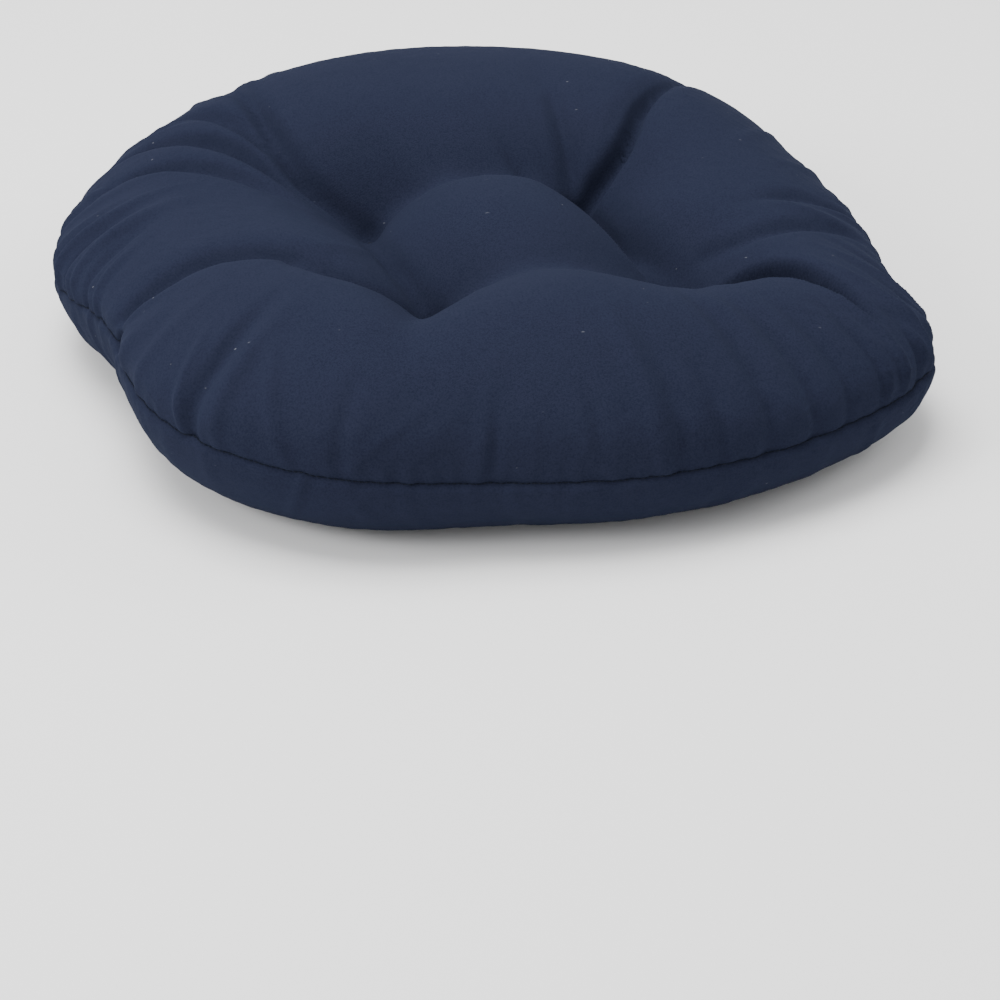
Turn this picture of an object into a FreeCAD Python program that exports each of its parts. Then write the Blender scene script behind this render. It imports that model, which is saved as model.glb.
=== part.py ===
"""Round tufted seat cushion: two twill panels sewn at the rim, a fibre filling and four tuft ties.

Units are millimetres. +Z is up, the origin is on the underside at the centre of the cushion,
and -Y is the front. Every sub-part is written to parts/NODE.step.
"""

import math
import os

import FreeCAD
import Part

# Driving dimensions of the stuffed cushion.
RIM_RADIUS = 250.0  # widest point of the upper panel
RIM_ROLL_RADIUS = 36.0  # roll of the upper panel between the seam and the shoulder
RIM_HEIGHT = 66.0  # height of the widest point
SEAM_HEIGHT = 48.0  # height of the sewn rim seam
CREST_RADIUS = 170.0  # ring of highest points between the tufts and the rim
CREST_HEIGHT = 120.0
VALLEY_RADIUS = 92.0  # dip of the crown along the circle of tufts
VALLEY_HEIGHT = 104.0
CROWN_HEIGHT = 112.0  # centre of the middle puff
FLOOR_RADIUS = 192.0  # flat patch that rests on the seat or the floor

# Fabric and sewing.
FABRIC = 0.9  # twill thickness
ALLOWANCE = 10.0  # width of the seam allowance turned inside
STITCH_INSET = 1.6  # row of stitches, inside the fold of the seam
THREAD_RADIUS = 0.4
OVERLOCK_REACH = 4.0  # how far the overlocked edge wraps over the allowance
OVERLOCK_THICKNESS = 0.5

# Tufts: four, placed by eye, so their square is skewed and sits off centre.
TUFT_PLACES = {
    "front_left": (-20.0, -116.0),
    "back_left": (-59.0, 15.0),
    "back_right": (61.0, 37.0),
    "front_right": (117.0, -83.0),
}
TUFT_TOP = 48.0  # the upper panel is pulled down to this height
TUFT_UNDER = 18.0  # the lower panel is pulled up to this height
TUFT_FLOOR_RADIUS = 5.0  # flat fabric under the twine
TOP_BELL_RADIUS = 75.0  # flare of the upper dimple
TOP_BELL_ANGLE = 70.0
UNDER_BELL_RADIUS = 25.0  # flare of the lower dimple
UNDER_BELL_ANGLE = 60.0
TWINE_RADIUS = 0.8
TWINE_SPREAD = 2.4  # each leg of the loop from the tuft's axis
KNOT_RADIUS = 3.8  # both legs end inside the knot
KNOT_GAP = 0.2  # between the knot and the lower panel
KNOT_TURN = 130.0  # keeps the seam line of the sphere away from the legs
TAIL_LENGTH = 12.0
TAIL_BEARINGS = (60.0, 215.0)
TAIL_DROP_ANGLE = 20.0  # tails hang this far below level

# Closing stitches and label, at the back and clear of each other.
CLOSING_LENGTH = 150.0
CLOSING_COUNT = 25
CLOSING_STITCH_LENGTH = 5.0
CLOSING_SLANT = 25.0
LABEL_WIDTH = 38.0
LABEL_LENGTH = 50.0
LABEL_THICKNESS = 0.4
LABEL_BEARING = 118.0  # degrees from +X, anticlockwise
CLOSING_BEARING = 90.0

UP = FreeCAD.Vector(0, 0, 1)
ORIGIN = FreeCAD.Vector(0, 0, 0)


class Curve:
    """An arc of the section in the r-z plane.

    side is 1 where the cushion is inside the circle and -1 where it is outside.
    """

    def __init__(self, centre, radius, start, end, side):
        self.centre = centre
        self.radius = radius
        self.start = start
        self.end = end
        self.side = side

    def point(self, angle, inset=0.0):
        """Point at angle (radians), moved into the cushion by inset."""
        radius = self.radius - self.side * inset
        r = self.centre[0] + radius * math.cos(angle)
        z = self.centre[1] + radius * math.sin(angle)
        return FreeCAD.Vector(r, 0, z)

    def edge(self, inset=0.0):
        middle = (self.start + self.end) / 2
        ends = self.point(self.start, inset), self.point(self.end, inset)
        return Part.Arc(ends[0], self.point(middle, inset), ends[1]).toShape()

    def cut_at(self, height, inset=0.0):
        """The same arc, started where the inset arc is at this height."""
        radius = self.radius - self.side * inset
        angle = math.asin((height - self.centre[1]) / radius)
        return Curve(self.centre, self.radius, angle, self.end, self.side)


def s_bend(high, low):
    """Two equal tangent arcs from a level high point to a level low point, as [convex, concave]."""
    run = low[0] - high[0]
    drop = high[1] - low[1]
    radius = (run**2 + drop**2) / (4 * drop)
    lean = math.atan2(run / 2, radius - drop / 2)
    top = Curve((high[0], high[1] - radius), radius, math.pi / 2, math.pi / 2 - lean, 1)
    foot = Curve((low[0], low[1] + radius), radius, -math.pi / 2 - lean, -math.pi / 2, -1)
    return [top, foot]


def upper_curves():
    """Section of the upper panel from the seam, over the rim and crest, to the centre."""
    rim_centre = (RIM_RADIUS - RIM_ROLL_RADIUS, RIM_HEIGHT)
    across = rim_centre[0] - CREST_RADIUS
    rise = CREST_HEIGHT - RIM_HEIGHT
    shoulder = (across**2 + rise**2 - RIM_ROLL_RADIUS**2) / (2 * (rise - RIM_ROLL_RADIUS))
    shoulder_centre = (CREST_RADIUS, CREST_HEIGHT - shoulder)
    join = math.atan2(rim_centre[1] - shoulder_centre[1], across)
    seam_angle = math.asin((SEAM_HEIGHT - RIM_HEIGHT) / RIM_ROLL_RADIUS)
    rim = Curve(rim_centre, RIM_ROLL_RADIUS, seam_angle, join, 1)
    crest = Curve(shoulder_centre, shoulder, join, math.pi / 2, 1)
    outer_bend = s_bend((CREST_RADIUS, CREST_HEIGHT), (VALLEY_RADIUS, VALLEY_HEIGHT))
    centre_bend = s_bend((0.0, CROWN_HEIGHT), (VALLEY_RADIUS, VALLEY_HEIGHT))
    back = [Curve(c.centre, c.radius, c.end, c.start, c.side) for c in reversed(centre_bend)]
    return [rim, crest, *outer_bend, *back]


def seam_radius():
    return upper_curves()[0].point(upper_curves()[0].start).x


def lower_curve():
    """Section of the lower panel from the seam down to the flat patch."""
    run = seam_radius() - FLOOR_RADIUS
    radius = (run**2 + SEAM_HEIGHT**2) / (2 * SEAM_HEIGHT)
    seam_angle = math.asin((SEAM_HEIGHT - radius) / radius)
    return Curve((FLOOR_RADIUS, radius), radius, seam_angle, -math.pi / 2, 1)


def line(a, b):
    return Part.LineSegment(a, b).toShape()


def at(r, z):
    return FreeCAD.Vector(r, 0, z)


def revolve(edges, degrees=360.0):
    face = Part.Face(Part.Wire(Part.__sortEdges__(edges)))
    solid = face.revolve(ORIGIN, UP, degrees)
    if solid.Volume < 0:
        solid.reverse()
    return solid


def half_body(curves, floor_z, inset, level):
    """Solid between one panel's section, inset into the cushion, and the level plane at the seam."""
    first = curves[0].cut_at(level, inset)
    edges = [first.edge(inset)] + [c.edge(inset) for c in curves[1:]]
    last = curves[-1].point(curves[-1].end, inset)
    if floor_z is not None:
        edges.append(line(last, at(0, floor_z)))
        last = at(0, floor_z)
    edges.append(line(last, at(0, level)))
    edges.append(line(at(0, level), first.point(first.start, inset)))
    return revolve(edges)


def upper_body(inset=0.0, level=SEAM_HEIGHT):
    return half_body(upper_curves(), None, inset, level)


def lower_body(inset=0.0, level=SEAM_HEIGHT):
    return half_body([lower_curve()], inset, inset, level)


def bell(bell_radius, bell_angle, grow):
    """Trumpet about the Z axis, opening upward from z = 0. grow widens it by a fabric thickness."""
    flare = bell_radius - grow
    centre = TUFT_FLOOR_RADIUS + bell_radius
    steep = math.radians(bell_angle)

    def wall(angle):
        return at(centre - flare * math.cos(angle), flare * math.sin(angle))

    mouth = wall(steep)
    edges = [
        line(at(0, -grow), at(TUFT_FLOOR_RADIUS, -grow)),
        Part.Arc(wall(0), wall(steep / 2), mouth).toShape(),
        line(mouth, at(0, mouth.z)),
        line(at(0, mouth.z), at(0, -grow)),
    ]
    if grow:
        # Round the corner between the flat floor and the flare, so the fabric keeps its thickness.
        corner = at(TUFT_FLOOR_RADIUS + grow * math.sqrt(0.5), -grow * math.sqrt(0.5))
        edges.insert(1, Part.Arc(at(TUFT_FLOOR_RADIUS, -grow), corner, wall(0)).toShape())
    return revolve(edges)


def upper_dimple(place, grow):
    dimple = bell(TOP_BELL_RADIUS, TOP_BELL_ANGLE, grow)
    dimple.translate(place + FreeCAD.Vector(0, 0, TUFT_TOP))
    return dimple


def lower_dimple(place, grow):
    dimple = bell(UNDER_BELL_RADIUS, UNDER_BELL_ANGLE, grow)
    dimple.rotate(ORIGIN, FreeCAD.Vector(1, 0, 0), 180)
    dimple.translate(place + FreeCAD.Vector(0, 0, TUFT_UNDER))
    return dimple


def ring(inner, outer, low, high):
    """Flat washer about the Z axis."""
    disc = Part.makeCylinder(outer, high - low, at(0, low))
    return disc.cut(Part.makeCylinder(inner, high - low, at(0, low)))


def seam_thread():
    """The lockstitch row that joins the two panels, in the plane of the seam."""
    return Part.makeTorus(seam_radius() - STITCH_INSET, THREAD_RADIUS, at(0, SEAM_HEIGHT), UP)


def allowance(low, high):
    return ring(seam_radius() - ALLOWANCE, seam_radius() - FABRIC, low, high)


def overlock_thread():
    """Thread wrapped round the two raw edges of the allowance, inside the cushion."""
    edge = seam_radius() - ALLOWANCE
    wrap = FABRIC + OVERLOCK_THICKNESS
    outside = ring(edge - OVERLOCK_THICKNESS, edge + OVERLOCK_REACH, SEAM_HEIGHT - wrap, SEAM_HEIGHT + wrap)
    return outside.cut(ring(edge, edge + OVERLOCK_REACH, SEAM_HEIGHT - FABRIC, SEAM_HEIGHT + FABRIC))


def tuft_twine(place):
    """One loop of twine: a bight over the upper panel, two legs and a knot with two tails below."""
    side = FreeCAD.Vector(TWINE_SPREAD, 0, 0)
    foot = place + FreeCAD.Vector(0, 0, TUFT_UNDER - KNOT_GAP - KNOT_RADIUS)
    head = place + FreeCAD.Vector(0, 0, TUFT_TOP)
    legs = [Part.makeCylinder(TWINE_RADIUS, head.z - foot.z, foot + s, UP) for s in (side, -side)]
    section = Part.Face(Part.Wire(Part.makeCircle(TWINE_RADIUS, head + side, UP)))
    bight = section.revolve(head, FreeCAD.Vector(0, -1, 0), 180)
    knot = Part.makeSphere(KNOT_RADIUS)
    knot.rotate(ORIGIN, UP, KNOT_TURN)
    knot.translate(foot)
    drop = math.radians(TAIL_DROP_ANGLE)
    tails = []
    for bearing in TAIL_BEARINGS:
        lie = math.radians(bearing)
        level = math.cos(drop)
        out = FreeCAD.Vector(math.cos(lie) * level, math.sin(lie) * level, -math.sin(drop))
        tails.append(Part.makeCylinder(TWINE_RADIUS, TAIL_LENGTH, foot, out))
    return bight.multiFuse([*legs, knot, *tails]).removeSplitter()


def top_cover(dimple_places, twines):
    outer = upper_body()
    inner = upper_body(FABRIC, SEAM_HEIGHT)
    for place in dimple_places:
        outer = outer.cut(upper_dimple(place, 0.0))
        inner = inner.cut(upper_dimple(place, FABRIC))
    panel = outer.cut(inner).fuse(allowance(SEAM_HEIGHT, SEAM_HEIGHT + FABRIC))
    for tool in [seam_thread(), *twines]:
        panel = panel.cut(tool)
    return panel


def bottom_cover(dimple_places, twines):
    outer = lower_body()
    inner = lower_body(FABRIC, SEAM_HEIGHT)
    for place in dimple_places:
        outer = outer.cut(lower_dimple(place, 0.0))
        inner = inner.cut(lower_dimple(place, FABRIC))
    panel = outer.cut(inner).fuse(allowance(SEAM_HEIGHT - FABRIC, SEAM_HEIGHT))
    for tool in [seam_thread(), *twines]:
        panel = panel.cut(tool)
    return panel


def fibre_fill(dimple_places, twines):
    """Everything inside the two panels, round the allowance, the dimples and the twine."""
    body = upper_body(FABRIC).fuse(lower_body(FABRIC))
    for place in dimple_places:
        body = body.cut(upper_dimple(place, FABRIC)).cut(lower_dimple(place, FABRIC))
    body = body.cut(allowance(SEAM_HEIGHT - FABRIC, SEAM_HEIGHT + FABRIC)).cut(overlock_thread())
    for tool in twines:
        body = body.cut(tool)
    return body.removeSplitter()


def closing_stitches():
    """Slanted stitches across the seam at the back, where the cover was filled."""
    upper = upper_curves()[0]
    lower = lower_curve()
    half = CLOSING_STITCH_LENGTH / 2
    high = upper.point(upper.start + half / upper.radius, -THREAD_RADIUS - FABRIC / 6)
    low = lower.point(lower.start - half / lower.radius, -THREAD_RADIUS - FABRIC / 6)
    span = math.degrees(CLOSING_LENGTH / seam_radius())
    slant = math.degrees(half * math.tan(math.radians(CLOSING_SLANT)) / seam_radius())
    stitches = []
    for i in range(CLOSING_COUNT):
        bearing = CLOSING_BEARING + span * (i / (CLOSING_COUNT - 1) - 0.5)
        ends = []
        for point, lean in ((low, -slant), (high, slant)):
            turn = FreeCAD.Rotation(UP, bearing + lean)
            ends.append(turn.multVec(point))
        reach = ends[1] - ends[0]
        stitches.append(Part.makeCylinder(THREAD_RADIUS, reach.Length, ends[0], reach))
    return Part.makeCompound(stitches)


def care_label():
    """Blank woven tag, caught in the seam and lying on the lower panel."""
    lower = lower_curve()
    start = lower.start - THREAD_RADIUS / lower.radius
    end = start - LABEL_LENGTH / lower.radius
    strip = Curve(lower.centre, lower.radius, start, end, 1)
    edges = [strip.edge(), strip.edge(-LABEL_THICKNESS)]
    for angle in (start, end):
        edges.append(line(strip.point(angle), strip.point(angle, -LABEL_THICKNESS)))
    width = math.degrees(LABEL_WIDTH / seam_radius())
    label = revolve(edges, width)
    label.rotate(ORIGIN, UP, LABEL_BEARING - width / 2)
    return label


def build():
    places = {name: FreeCAD.Vector(x, y, 0) for name, (x, y) in TUFT_PLACES.items()}
    centres = list(places.values())
    twines = {f"tuft_twine_{name}": tuft_twine(place) for name, place in places.items()}
    threads = list(twines.values())
    parts = {
        "top_cover": top_cover(centres, threads),
        "bottom_cover": bottom_cover(centres, threads),
        "seam_thread": seam_thread(),
        "overlock_thread": overlock_thread(),
        "closing_stitches": closing_stitches(),
        "care_label": care_label(),
        **twines,
    }
    parts["fibre_fill"] = fibre_fill(centres, threads)
    return parts


def main():
    os.makedirs("parts", exist_ok=True)
    for old in os.listdir("parts"):
        if old.endswith(".step"):
            os.remove(os.path.join("parts", old))
    for name, shape in build().items():
        print(f"{name}: solids {len(shape.Solids)} valid {shape.isValid()} volume {shape.Volume:.1f}")
        shape.exportStep(f"parts/{name}.step")


main()
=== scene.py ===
"""Round tufted seat cushion: sewn twill covers, filling, threads, label and tuft twine.

Lengths are in millimetres up to the point where a mesh is made, which is in metres.
Bearings are in degrees from +X, anticlockwise, round the middle of the cushion's uneven outline.
"""
import math

import bpy
import numpy as np
from mathutils import Matrix, Vector


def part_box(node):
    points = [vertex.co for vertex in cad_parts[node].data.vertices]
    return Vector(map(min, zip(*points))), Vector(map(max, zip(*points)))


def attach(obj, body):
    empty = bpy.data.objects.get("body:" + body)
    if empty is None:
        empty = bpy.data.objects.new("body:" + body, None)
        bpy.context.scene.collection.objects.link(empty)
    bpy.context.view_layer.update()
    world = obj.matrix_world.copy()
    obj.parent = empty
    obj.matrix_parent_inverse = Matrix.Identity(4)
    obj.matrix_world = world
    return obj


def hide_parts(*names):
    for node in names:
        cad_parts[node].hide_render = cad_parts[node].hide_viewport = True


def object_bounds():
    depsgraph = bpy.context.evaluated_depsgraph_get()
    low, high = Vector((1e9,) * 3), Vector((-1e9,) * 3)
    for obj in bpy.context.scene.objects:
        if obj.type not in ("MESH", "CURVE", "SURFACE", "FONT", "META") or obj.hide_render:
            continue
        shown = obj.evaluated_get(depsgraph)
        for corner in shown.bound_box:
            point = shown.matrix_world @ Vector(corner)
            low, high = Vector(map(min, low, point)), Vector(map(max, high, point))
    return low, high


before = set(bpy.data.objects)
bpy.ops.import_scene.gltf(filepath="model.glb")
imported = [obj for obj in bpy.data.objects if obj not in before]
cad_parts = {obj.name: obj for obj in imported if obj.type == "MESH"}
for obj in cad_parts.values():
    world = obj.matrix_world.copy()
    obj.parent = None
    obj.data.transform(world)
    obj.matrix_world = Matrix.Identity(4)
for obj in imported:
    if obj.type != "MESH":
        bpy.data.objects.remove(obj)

cad_low, cad_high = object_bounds()

MM = 0.001
SEED = 11


def heights(node):
    low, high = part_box(node)
    return low[2] / MM, high[2] / MM


RIM = cad_high[0] / MM  # the CAD cushion's radius
SEAM = sum(heights("seam_thread")) / 2
CREST = heights("top_cover")[1]

# Outline and heights of the real, uneven cushion, as (bearing, difference from the CAD value).
MIDDLE = np.array([9.0, -3.0])
OUTLINE = [
    (0, -28), (25, -34), (50, -16), (75, -2), (100, 6), (130, 6), (155, 6), (180, 0),
    (205, -21), (230, 6), (250, 8), (270, -5), (290, 4), (310, 14), (330, 19), (345, -14),
]
SEAM_SWAY = [
    (0, -10), (45, -7), (90, -2), (135, -2), (180, -4),
    (205, 12), (235, 6), (270, -4), (300, -5), (330, -5),
]
CROWN = [(0, -22), (45, -10), (90, -10), (135, -6), (180, -21), (225, -9), (270, 5), (315, -14)]
CENTRE_CROWN = -2.0
CENTRE_SHARE = 0.45  # the centre's own crown height fades out over this share of the radius
CREST_LIFT = 14.0  # the panel stands higher before the valleys are pressed in
LIFT_EDGE = 0.95
LIFT_FADE = 0.3
RIM_BULGE = 5.0
BULGE_TOP = 0.85  # share of the height at which the bulge over the seam ends
UPPER_POWERS = (3, 2.1)  # of the upper panel's rounded section, outward and upward
UPPER_RISE = 70  # usual height of the panel over the seam, which spaces its points evenly

# Tufts and the valleys between the puffs: plan x, plan y, depth, half width.
TUFTS = {
    "front_left": (-20, -116),
    "back_left": (-59, 15),
    "back_right": (61, 37),
    "front_right": (117, -83),
}
VALLEYS = [
    [(-20, -116, 24, 64), (-51, -51, 31, 64), (-59, 15, 24, 64), (0, 35, 28, 70), (61, 37, 24, 64),
     (81, -20, 44, 46), (117, -83, 24, 60), (51, -103, 18, 62), (-20, -116, 24, 64)],
    [(61, 37, 26, 30), (86, 60, 20, 24), (102, 94, 13, 20), (123, 135, 8, 16), (141, 169, 4, 12)],
    [(117, -83, 26, 28), (146, -92, 17, 20), (165, -105, 12, 17), (181, -121, 9, 15),
     (193, -137, 7, 12), (205, -155, 4, 11)],
    [(-20, -116, 22, 40), (-60, -117, 24, 30), (-105, -101, 17, 22), (-151, -104, 14, 18),
     (-181, -120, 9, 15), (-203, -135, 4, 14)],
    [(-20, -116, 28, 50), (-24, -148, 25, 46), (-30, -195, 9, 40)],
    [(-59, 15, 24, 32), (-93, 29, 16, 24), (-115, 57, 12, 20), (-134, 105, 8, 18),
     (-149, 152, 4, 14)],
    [(-93, 29, 12, 14), (-118, 55, 14, 13), (-148, 86, 11, 12), (-178, 113, 8, 11),
     (-204, 125, 4, 10)],
    [(-88, 12, 12, 14), (-121, 36, 14, 13), (-155, 58, 12, 12), (-194, 78, 10, 11),
     (-226, 78, 5, 10)],
    [(-98, -2, 8, 12), (-134, 16, 10, 12), (-170, 30, 9, 11), (-206, 34, 7, 10), (-234, 26, 4, 9)],
    [(124, -55, 8, 14), (151, -55, 6, 12), (189, -39, 5, 10), (221, -25, 3, 10)],
    [(15, 67, 3, 10), (34, 37, 5, 10), (54, 22, 6, 12)],
    [(41, 134, 3, 16), (51, 89, 5, 14), (59, 47, 8, 14)],
]
# Sharp creases at the bottom of the deepest valleys, with the same columns.
CREASES = [
    [(61, 37, 8, 10), (87, 60, 12, 8), (102, 94, 9, 7), (123, 135, 4, 6), (141, 169, 0, 5)],
    [(61, 37, 8, 12), (69, 8, 13, 12), (78, -27, 13, 12), (94, -60, 11, 12), (117, -80, 10, 12)],
    [(15, 67, 0, 8), (26, 50, 4, 8), (38, 36, 5, 8), (50, 30, 3, 8)],
    [(47, 112, 0, 9), (52, 84, 4, 10), (57, 60, 5, 10), (61, 40, 3, 10)],
    [(128, -52, 3, 10), (151, -53, 4, 10), (189, -39, 4, 10), (221, -25, 0, 9)],
    [(150, -20, 0, 10), (178, -8, 4, 10), (208, 2, 3, 9), (232, 4, 0, 8)],
    [(117, -80, 12, 12), (146, -87, 18, 8), (166, -99, 20, 8), (184, -115, 16, 7),
     (198, -130, 9, 6), (211, -147, 0, 5)],
    [(-59, 15, 3, 12), (-51, -51, 4, 11), (-20, -116, 5, 11)],
    [(-59, 15, 2, 12), (-93, 29, 11, 11), (-115, 57, 11, 11), (-134, 105, 7, 10),
     (-149, 152, 0, 9)],
    [(-93, 29, 2, 12), (-118, 55, 8, 11), (-148, 86, 8, 11), (-178, 113, 6, 10),
     (-204, 125, 0, 9)],
    [(-88, 12, 2, 12), (-121, 36, 9, 11), (-155, 58, 9, 11), (-194, 78, 6, 10), (-226, 78, 0, 9)],
    [(-98, -2, 0, 10), (-134, 16, 5, 9), (-170, 30, 6, 9), (-206, 34, 5, 8), (-234, 26, 0, 8)],
    [(-20, -116, 6, 11), (-60, -117, 6, 10), (-105, -101, 3, 10), (-151, -104, 4, 10),
     (-181, -120, 3, 9), (-203, -135, 0, 8)],
]
TUFT_DEPTH = 44.0
TUFT_FLARE = 44.0
TUFT_ROUND = 8.0
UNDER_DEPTH = 18.0
UNDER_FLARE = 14.0
UNDER_ROUND = 3
PRESS_SMOOTHING = 5
PUFF_POWER = 0.75  # a lower power gives a valley a sharper floor
VALLEY_BLEND = 4  # valleys join by a smooth maximum of this power
LEAN_START = 130  # valleys are pressed straight down inside this radius
LEAN_FADE = 70  # and square to the panel once they are this much further out
FOOT_ROLL = 50.0  # the lower panel rounds up to the seam over this width

# Gathers that run from the seam up over the rim:
# first bearing, last bearing, number, inward reach as a share, height, bearing they lean to.
GATHERS = [
    (118, 165, 8, 0.42, 2.6, 160),
    (165, 203, 8, 0.42, 3.4, 170),
    (203, 250, 5, 0.34, 3.2, 225),
    (250, 312, 8, 0.28, 1.4, 280),
    (312, 342, 6, 0.32, 2.2, 320),
    (342, 400, 13, 0.38, 2.4, 350),
    (40, 118, 11, 0.28, 1.6, 80),
]
# Single folds, up or down:
# bearing at the seam, bearing at the far end, inward reach as a share, height, half width.
FOLDS = [
    (234.5, 236, 0.40, -6.0, 6), (238, 239, 0.36, 2.5, 5), (253, 254, 0.24, -2.0, 5),
    (270, 271, 0.20, -2.0, 4), (282, 282, 0.22, -2.0, 5), (289, 288, 0.42, 2.8, 6),
    (291.5, 292, 0.34, -2.4, 5), (296, 297, 0.26, -2.4, 5), (302, 306, 0.50, -4.4, 6),
    (308, 311, 0.46, -4.4, 6), (313, 316, 0.40, -4.0, 5), (318, 322, 0.36, -3.4, 4),
    (322, 327, 0.34, 3.6, 4), (325.5, 330, 0.30, -3.6, 4), (329, 334, 0.38, 3.6, 4),
    (333, 338, 0.30, -3.6, 4), (337, 341, 0.34, 3.2, 4), (341.5, 345, 0.28, -3.0, 4),
    (186, 178, 0.36, 3.4, 5), (190, 182, 0.32, -3.8, 4), (194, 186, 0.36, 3.6, 4),
    (198, 190, 0.32, -3.8, 4), (202, 194, 0.30, 3.2, 4),
]
UNDER_GATHERS = [(0, 360, 46, 0.20, 1.5, None)]

CELLS = 64  # grid cells from the centre of a panel to its rim
FLAT = 290.0  # radius of a panel laid flat
FABRIC = 0.9
ALLOWANCE = 10.0
STITCH_INSET = 1.6
PINCH = 3.5
PINCH_WIDTH = 6.0
GROOVE = 0.7
GROOVE_WIDTH = 1.8
PUCKERS = 9  # waves that add up to the seam's small puckers
PUCKER_TURNS = (60, 170)
PUCKER_HEIGHTS = (0.05, 0.16)
PUCKER_REACH = 11
# How the gathers vary: place within their pitch, turn towards the bearing they lean to,
# wander of the far end in degrees, length, height and half width.
GATHER_PLACE = (0.15, 0.85)
GATHER_TURN = 0.45
GATHER_WANDER = 4
GATHER_LENGTH = (0.55, 1.15)
GATHER_HEIGHT = (0.4, 1.2)
GATHER_WIDTH = (3.5, 8.0)
FOLD_POINTS = 81
FOLD_CURVE = 1.4  # over 1, so that a fold turns more towards its far end
FOLD_AT_SEAM = 0.55  # share of a fold's height at the seam
FOLD_RISEN = 0.2  # share of its length at which it has its full height
FOLD_FADES = 0.4  # and from which it dies away
FOLD_MARGIN = 20
TROUGH = 0.35  # a fold stands between two shallow troughs, this share of its height
TROUGH_WIDTH = 2.2  # and this many times as wide
CREASE_STEP = 2.5
CREASE_SHARPNESS = 1.6


def smooth(t):
    t = np.clip(t, 0, 1)
    return t * t * (3 - 2 * t)


def around(table, bearing):
    """Smooth closed curve through (bearing, value) pairs, at a bearing in radians."""
    at, value = (np.array(column, float) for column in zip(*table))
    turn = np.mod(np.degrees(bearing) - at[0], 360) + at[0]
    at = np.concatenate([at[-2:] - 360, at, at[:3] + 360])
    value = np.concatenate([value[-2:], value, value[:3]])
    i = np.clip(np.searchsorted(at, turn, side="right") - 1, 1, len(at) - 3)
    gap = at[i + 1] - at[i]
    t = (turn - at[i]) / gap
    slope = (value[i + 1] - value[i - 1]) / (at[i + 1] - at[i - 1]) * gap
    next_slope = (value[i + 2] - value[i]) / (at[i + 2] - at[i]) * gap
    start = (2 * t**3 - 3 * t**2 + 1) * value[i] + (t**3 - 2 * t**2 + t) * slope
    return start + (3 * t**2 - 2 * t**3) * value[i + 1] + (t**3 - t**2) * next_slope


def spline(rows, step=4.0):
    """Smooth path through rows of numbers, of which the first two are the plan position."""
    p = np.array(rows, float)
    p = np.vstack([2 * p[0] - p[1], p, 2 * p[-1] - p[-2]])
    out = []
    for a, b, c, d in zip(p, p[1:], p[2:], p[3:]):
        for t in np.arange(0, 1, min(0.5, step / np.hypot(*(c - b)[:2]))):
            bend = (2 * a - 5 * b + 4 * c - d) * t**2 + (3 * b - a - 3 * c + d) * t**3
            out.append(0.5 * (2 * b + (c - a) * t + bend))
    return np.array(out + [p[-2]])


def square_grid(cells):
    """Square grid that is wrapped to a disc: ring share and bearing of each point."""
    k = np.arange(-cells, cells + 1)
    a, b = (g.astype(float) for g in np.meshgrid(k, k, indexing="ij"))
    ring = np.maximum(abs(a), abs(b)) / cells
    wide = abs(a) >= abs(b)
    over_a = np.where(a == 0, 1, a)
    over_b = np.where(b == 0, 1, b)
    bearing = np.where(
        wide,
        math.pi / 4 * b / over_a + np.where(a < 0, math.pi, 0),
        math.pi / 2 - math.pi / 4 * a / over_b + np.where(b < 0, math.pi, 0),
    )
    return ring, bearing


def grid_quads(side):
    index = np.arange(side * side).reshape(side, side)
    corners = [index[:-1, :-1], index[1:, :-1], index[1:, 1:], index[:-1, 1:]]
    return np.stack(corners, -1).reshape(-1, 4)


def rim_loop(side):
    """Indices of the grid's border, anticlockwise from the corner at bearing -135."""
    index = np.arange(side * side).reshape(side, side)
    return np.concatenate([index[:-1, 0], index[-1, :-1], index[:0:-1, -1], index[0, :0:-1]])


def run_along(path):
    """Length from the start of a path to each of its points."""
    return np.concatenate([[0], np.cumsum(np.linalg.norm(np.diff(path, axis=0), axis=1))])


def section(r, z, reach, rise):
    """Length along a section that is reach wide and rise high, as a share of the whole."""
    length = run_along(np.stack([r * reach, z * rise], 1))
    return length / length[-1]


def normals(co, quads):
    a, b, c, d = (co[quads[:, i]] for i in range(4))
    face = np.cross(c - a, d - b)
    out = np.zeros_like(co)
    for i in range(4):
        np.add.at(out, quads[:, i], face)
    return out / np.maximum(np.linalg.norm(out, axis=1, keepdims=True), 1e-12)


def polar(r, bearing, z):
    return np.stack([r * np.cos(bearing) + MIDDLE[0], r * np.sin(bearing) + MIDDLE[1], z], -1)


def ring_share(ring):
    """Rings lie closer together near the rim."""
    return 0.5 * ring + 0.5 * np.sin(ring * math.pi / 2)


def upper_panel(ring, bearing):
    quarter = np.linspace(0, math.pi / 2, 400)
    outward, upward = UPPER_POWERS
    r, z = np.sin(quarter) ** (2 / outward), np.cos(quarter) ** (2 / upward)
    share = section(r, z, RIM, UPPER_RISE)
    seam = SEAM + around(SEAM_SWAY, bearing)
    crown = CENTRE_CROWN + (around(CROWN, bearing) - CENTRE_CROWN) * smooth(ring / CENTRE_SHARE)
    crown += CREST + CREST_LIFT * smooth((LIFT_EDGE - ring) / LIFT_FADE)
    rise = (crown - seam) * np.interp(ring, share, z)
    up = np.clip(rise / (crown - seam) / BULGE_TOP, 0, 1)
    radius = (RIM + around(OUTLINE, bearing)) * np.interp(ring, share, r)
    return polar(radius + RIM_BULGE * 16 * up**2 * (1 - up) ** 2, bearing, seam + rise)


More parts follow.
